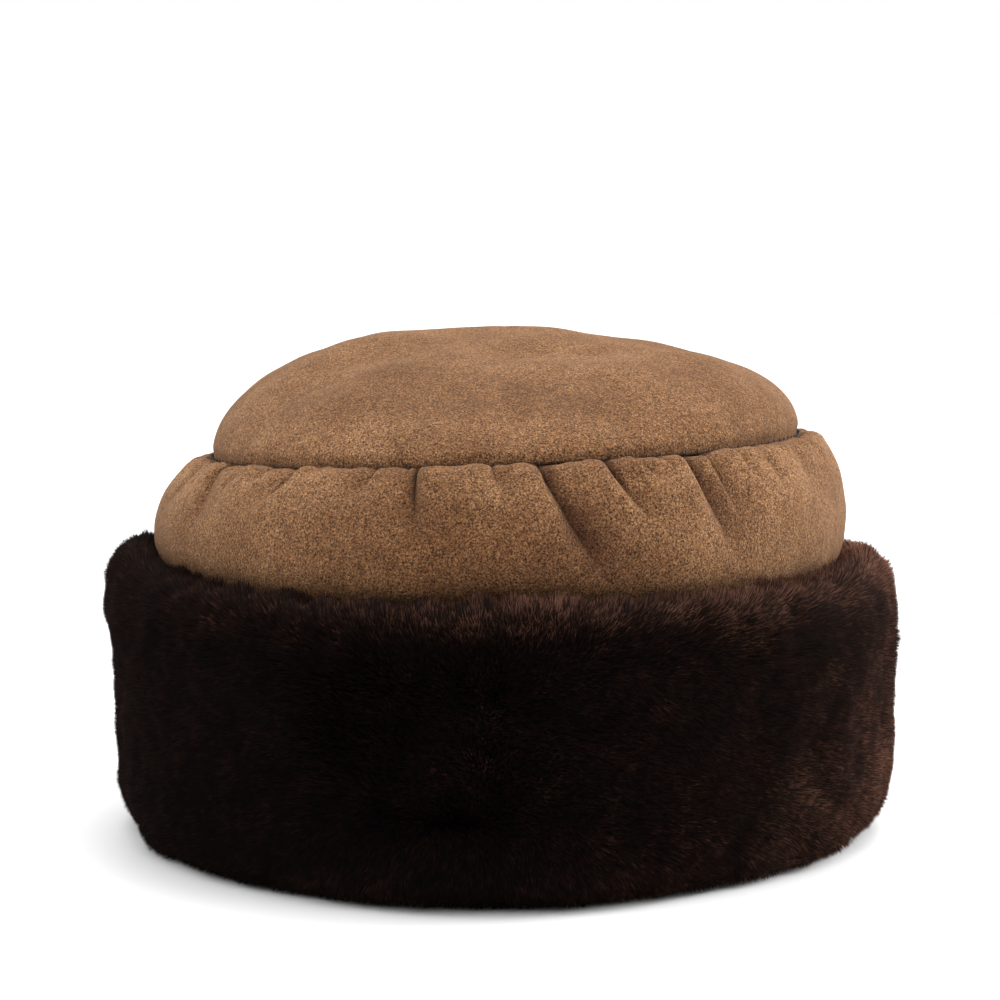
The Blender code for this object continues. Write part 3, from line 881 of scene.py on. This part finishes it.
def backing_object(name, first_turn, last_turn):
    """Half of the cuff's backing, as a closed strip with flat ends, and what grows from it."""
    columns = int(FUR_COLUMNS * (last_turn - first_turn) / 360)
    turns = np.linspace(first_turn, last_turn, columns)
    outs, ups, normal_out, normal_up = fur_form(turns)
    base_out = outs - normal_out * UNDERWOOL_DEPTH
    base_up = np.maximum(ups - normal_up * UNDERWOOL_DEPTH, BACKING_CLEARANCE)
    inner_out = np.full((2, 1), SUEDE_WALL + SEWN_GAP)
    inner_up = np.array([[0.5], [0.1]]) * CUFF_HEIGHT
    grid = np.concatenate(
        [
            round_the_hat(turns[None, :], base_out, base_up),
            round_the_hat(turns[None, :], inner_out, inner_up),
        ]
    )
    rows = grid.shape[0]
    index = np.arange(rows * columns).reshape(rows, columns)
    above = np.roll(index, -1, axis=0)
    quads = np.stack([index[:, :-1], index[:, 1:], above[:, 1:], above[:, :-1]], axis=-1)
    faces = quads.reshape(-1, 4).tolist()
    faces += [index[:, 0].tolist(), index[::-1, -1].tolist()]
    made = smooth_object(name, grid.reshape(-1, 3), faces)
    made.data.materials.append(wool_dark)

    places = round_the_hat(turns[None, :], outs, ups)
    lie = wool_lie(turns, places, (ups / CUFF_HEIGHT).clip(0, 1), normal_out, normal_up)
    height = ups / ups.max(axis=0)
    ragged = 1 + RIM_RAGGED * share_of(height, 0.84, 1.0)
    pile = 1 + ripples(places, PILE_LAYERS) * ragged
    grow = np.broadcast_to(wool_growth()[:, None], pile.shape)
    inside = np.zeros((2, columns))  # no wool on the two rows against the crown
    store(made.data, "lie", np.concatenate([lie, inside[..., None] + (0, 0, 1.0)]), "FLOAT_VECTOR")
    store(made.data, "grow", np.concatenate([grow, inside]))
    store(made.data, "pile", np.concatenate([pile, inside + 1]))
    store(made.data, "patch", np.concatenate([wool_tone_and_painted_light(turns, places, height), inside]))
    return made


half_gap = math.degrees(SEWN_GAP / 2 / HEAD_HALF_WIDTH)
front_end = SIDE_SEAM_TURN - half_gap
back_start = SIDE_SEAM_TURN + half_gap
backing_front = backing_object("cuff_backing_front", -front_end, front_end)
backing_back = backing_object("cuff_backing_back", back_start, 360 - back_start)
for backing, node in ((backing_front, "fur_cuff_front"), (backing_back, "fur_cuff_back")):
    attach(backing, "root")
    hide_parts(node)

# Fur cuff, its wool
# Sheared wool, dyed a very dark brown. Each strand is a thin blade that stands up out of the
# backing and then lies over along the flow of the pile, and its tip has faded a little redder.

STRAND_WIDTH = 0.00040
STRAND_RISE = 0.0032
STRAND_RUN = 0.0013
STRAND_DENSITY = 8000000
STRAND_JITTER = 42  # degrees
STRAND_OWN_SHADE = 0.3  # how much a strand is shaded by its own face, not by the fur's under it
STRAND_CLEARANCE = 0.0003  # over the floor
STRAND_TONES = (-0.23, 0.39)  # how far a strand may be less or more faded than those round it
TUFT_SIZE = 0.0026
TUFT_SHADE = 0.11


def wool_material():
    material = bpy.data.materials.new("dyed_sheared_wool")
    material.use_nodes = True
    tree = material.node_tree
    shader = tree.nodes["Principled BSDF"]
    tip = add_node(tree, "ShaderNodeAttribute", {"attribute_name": "tip"}).outputs["Fac"]
    tone = add_node(tree, "ShaderNodeAttribute", {"attribute_name": "tone"}).outputs["Fac"]
    place = add_node(tree, "ShaderNodeTexCoord").outputs["Object"]
    tuft = add_node(
        tree, "ShaderNodeTexNoise", inputs={"Vector": place, "Scale": 1 / TUFT_SIZE, "Detail": 2.0}
    )
    tufted = mapped(tree, tuft.outputs["Fac"], (0.3, 0.7), (-TUFT_SHADE, TUFT_SHADE))
    shade = add_node(tree, "ShaderNodeMath", inputs={0: tone, 1: tufted})
    strand = ramp_between(
        tree, shade.outputs[0], [(0.0, "#060404"), (0.3, "#110b09"), (0.6, "#2b1912"), (1.0, "#805745")]
    )
    mixing = {"data_type": "RGBA", "blend_type": "MIX"}
    colours = {"Factor": tip, MIX_A: linear("#0a0605"), MIX_B: strand}
    faded = add_node(tree, "ShaderNodeMix", mixing, colours)
    tree.links.new(faded.outputs[2], shader.inputs["Base Color"])
    shader.inputs["Roughness"].default_value = 0.75
    shader.inputs["Specular IOR Level"].default_value = 0.04
    sheen = mapped(tree, tone, (0.12, 0.45), (0.04, 0.2))  # more sheen where the tone is painted lighter
    tree.links.new(sheen, shader.inputs["Sheen Weight"])
    shader.inputs["Sheen Roughness"].default_value = 0.5
    shader.inputs["Sheen Tint"].default_value = linear("#8a604e")
    return material


def strand_blade():
    """One strand, 1 wide, 1 tall and 1 long, as a helper object that the tree copies."""
    mesh = bpy.data.meshes.new("strand_blade")
    mesh.from_pydata([(-0.5, 0, 0), (0.5, 0, 0), (0, 1, 1)], [], [(0, 2, 1)])
    store(mesh, "tip", np.array([0.0, 0.0, 1.0]))
    return add_object("strand_blade", mesh)


def wool_tree(blade, material):
    """Scatters strands over a backing, each turned to the lie of the pile there."""
    sockets = {
        "Density": ("NodeSocketFloat", STRAND_DENSITY),
        "Width": ("NodeSocketFloat", STRAND_WIDTH),
        "Rise": ("NodeSocketFloat", STRAND_RISE),
        "Run": ("NodeSocketFloat", STRAND_RUN),
        "Jitter": ("NodeSocketFloat", math.radians(STRAND_JITTER)),
        "Seed": ("NodeSocketInt", 5),
    }
    tree, given = start_tree("sheared_wool", sockets)

    def read(name, kind):
        node = add_node(tree, "GeometryNodeInputNamedAttribute", {"data_type": kind}, {"Name": name})
        return node.outputs["Attribute"]

    def random(low, high, offset):
        seed = add_node(tree, "ShaderNodeMath", inputs={0: given["Seed"], 1: float(offset)})
        return random_value(tree, low, high, seed.outputs[0])

    density = product(tree, given["Density"], read("grow", "FLOAT"))
    scatter = add_node(
        tree,
        "GeometryNodeDistributePointsOnFaces",
        inputs={"Mesh": given["Geometry"], "Density": density, "Seed": given["Seed"]},
    )
    normal = scatter.outputs["Normal"]
    kept = add_node(
        tree,
        "GeometryNodeStoreNamedAttribute",
        {"data_type": "FLOAT_VECTOR", "domain": "POINT"},
        {"Geometry": scatter.outputs["Points"], "Name": "bed_normal", "Value": normal},
    )
    bed_normal = read("bed_normal", "FLOAT_VECTOR")
    negative = product(tree, given["Jitter"], -1.0)
    swing = random(negative, given["Jitter"], 1)
    turned = add_node(
        tree,
        "ShaderNodeVectorRotate",
        inputs={"Vector": read("lie", "FLOAT_VECTOR"), "Axis": normal, "Angle": swing},
    )
    facing = add_node(
        tree,
        "FunctionNodeAxesToRotation",
        {"primary_axis": "Z", "secondary_axis": "Y"},
        {0: turned.outputs[0], 1: normal},
    )
    height = product(tree, given["Rise"], read("pile", "FLOAT"))
    height = product(tree, height, random(0.86, 1.12, 2))
    lean = add_node(
        tree, "ShaderNodeVectorMath", {"operation": "LENGTH"}, {0: read("lie", "FLOAT_VECTOR")}
    )
    length = product(tree, given["Run"], lean.outputs["Value"])
    length = product(tree, length, random(0.5, 1.5, 3))
    width = product(tree, given["Width"], random(0.7, 1.3, 4))
    scale = add_node(tree, "ShaderNodeCombineXYZ", inputs={0: width, 1: height, 2: length})
    copy = add_node(tree, "GeometryNodeObjectInfo", inputs={"Object": blade})
    placed = add_node(
        tree,
        "GeometryNodeInstanceOnPoints",
        inputs={
            "Points": kept.outputs[0],
            "Instance": copy.outputs["Geometry"],
            "Rotation": facing.outputs[0],
            "Scale": scale.outputs[0],
        },
    )
    patchy = add_node(
        tree, "ShaderNodeMath", inputs={0: read("patch", "FLOAT"), 1: random(*STRAND_TONES, 5)}
    )
    toned = add_node(
        tree,
        "GeometryNodeStoreNamedAttribute",
        {"data_type": "FLOAT", "domain": "INSTANCE"},
        {"Geometry": placed.outputs[0], "Name": "tone", "Value": patchy.outputs[0]},
    )
    outwards = add_node(
        tree,
        "GeometryNodeStoreNamedAttribute",
        {"data_type": "FLOAT_VECTOR", "domain": "INSTANCE"},
        {"Geometry": toned.outputs[0], "Name": "outwards", "Value": bed_normal},
    )
    finish_tree(tree, outwards.outputs[0], material)
    return tree


def side_of(backing, keep_right):
    """A copy of the faces of a backing on one side of the hat's middle, for the tree to cover."""
    patch = bmesh.new()
    patch.from_mesh(backing.data)
    gone = [f for f in patch.faces if (f.calc_center_median().x > 0) != keep_right]
    bmesh.ops.delete(patch, geom=gone, context="FACES")
    mesh = bpy.data.meshes.new("wool_bed")
    patch.to_mesh(mesh)
    patch.free()
    return add_object("wool_bed", mesh)


def settle_strands(mesh):
    """Keeps the strands off the floor, and shades them mostly like the backing that they grow from."""
    spots = np.empty(len(mesh.vertices) * 3, dtype=np.float32)
    mesh.vertices.foreach_get("co", spots)
    spots = spots.reshape(-1, 3)
    spots[:, 2] = np.maximum(spots[:, 2], STRAND_CLEARANCE)
    mesh.vertices.foreach_set("co", spots.ravel())
    outwards = np.empty(len(mesh.vertices) * 3, dtype=np.float32)
    mesh.attributes["outwards"].data.foreach_get("vector", outwards)
    outwards = outwards.reshape(-1, 3)
    corners = spots.reshape(-1, 3, 3)
    own = unit(np.cross(corners[:, 1] - corners[:, 0], corners[:, 2] - corners[:, 0]))
    own = np.repeat(own, 3, axis=0)
    own *= np.sign((own * outwards).sum(axis=1, keepdims=True))
    shaded = unit(outwards * (1 - STRAND_OWN_SHADE) + own * STRAND_OWN_SHADE)
    mesh.normals_split_custom_set_from_vertices(shaded)


blade = strand_blade()
wool = wool_material()
growth = wool_tree(blade, wool)
beds = (
    ("wool_front_left", backing_front, "fur_cuff_front", False, 51),
    ("wool_front_right", backing_front, "fur_cuff_front", True, 52),
    ("wool_back_left", backing_back, "fur_cuff_back", False, 53),
    ("wool_back_right", backing_back, "fur_cuff_back", True, 54),
)
for name, backing, node, keep_right, seed in beds:
    bed = side_of(backing, keep_right)
    modifier = bed.modifiers.new("wool", "NODES")
    modifier.node_group = growth
    set_inputs(modifier, Seed=seed)
    strands = plain_copy(name, bed)
    bpy.data.objects.remove(bed)
    settle_strands(strands.data)
    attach(strands, "root")
    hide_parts(node)
bpy.data.objects.remove(blade)

# Floor, light and camera
# A pale floor, a soft light overhead and one at the right, in a white surround that is brightest
# above and behind the hat, as for a catalogue picture.

FLOOR_HALF = 6.0

floor_mesh = bpy.data.meshes.new("studio_floor")
floor_corners = [(x * FLOOR_HALF, y * FLOOR_HALF, 0) for x, y in ((-1, -1), (1, -1), (1, 1), (-1, 1))]
floor_mesh.from_pydata(floor_corners, [], [(0, 1, 2, 3)])
floor_mesh.materials.append(plain_material("matt_white_floor", "#f6f6f6", 0.55, 0.3))
floor = add_object("studio_floor", floor_mesh)

world = bpy.data.worlds.new("studio")
bpy.context.scene.world = world
world.use_nodes = True
sky = world.node_tree
direction = add_node(sky, "ShaderNodeTexCoord").outputs["Generated"]
split = add_node(sky, "ShaderNodeSeparateXYZ", inputs={0: direction})
behind = mapped(sky, split.outputs[1], (-0.95, 0.1), (0.19, 1.0), "SMOOTHSTEP")
above = mapped(sky, split.outputs[2], (0.06, 0.95), (0.0, 1.1), "SMOOTHSTEP")
glow = add_node(sky, "ShaderNodeMath", inputs={0: behind, 1: above})
backdrop = sky.nodes["Background"]
backdrop.inputs["Color"].default_value = (1, 1, 1, 1)
sky.links.new(glow.outputs[0], backdrop.inputs["Strength"])


LIGHT_AIM_HEIGHT = 0.08


def aim(made, place, height):
    """Puts an object at a place, turned towards the hat's middle at a height."""
    made.location = place
    way = Vector((0, 0, height)) - Vector(place)
    made.rotation_euler = way.to_track_quat("-Z", "Y").to_euler()


def soft_light(name, place, size, power):
    """A white rectangle of light that shines on the hat."""
    lamp = bpy.data.lights.new(name, "AREA")
    lamp.shape = "RECTANGLE"
    lamp.size, lamp.size_y = size
    lamp.energy = power
    aim(add_object(name, lamp), place, LIGHT_AIM_HEIGHT)


soft_light("overhead", (0.15, 0.0, 1.2), (0.9, 0.9), 5)
soft_light("right", (1.2, 0.35, 0.75), (0.6, 0.7), 14)

CAMERA_DISTANCE = 0.85
CAMERA_HEIGHT = 0.165
AIM_HEIGHT = 0.0925
LENS = 107.6

camera_data = bpy.data.cameras.new("camera")
camera_data.lens = LENS
camera_data.sensor_width = 36
camera_data.clip_start = 0.05
camera = add_object("camera", camera_data)
aim(camera, (0, -CAMERA_DISTANCE, CAMERA_HEIGHT), AIM_HEIGHT)
bpy.context.scene.camera = camera
bpy.context.scene.view_settings.view_transform = "Standard"
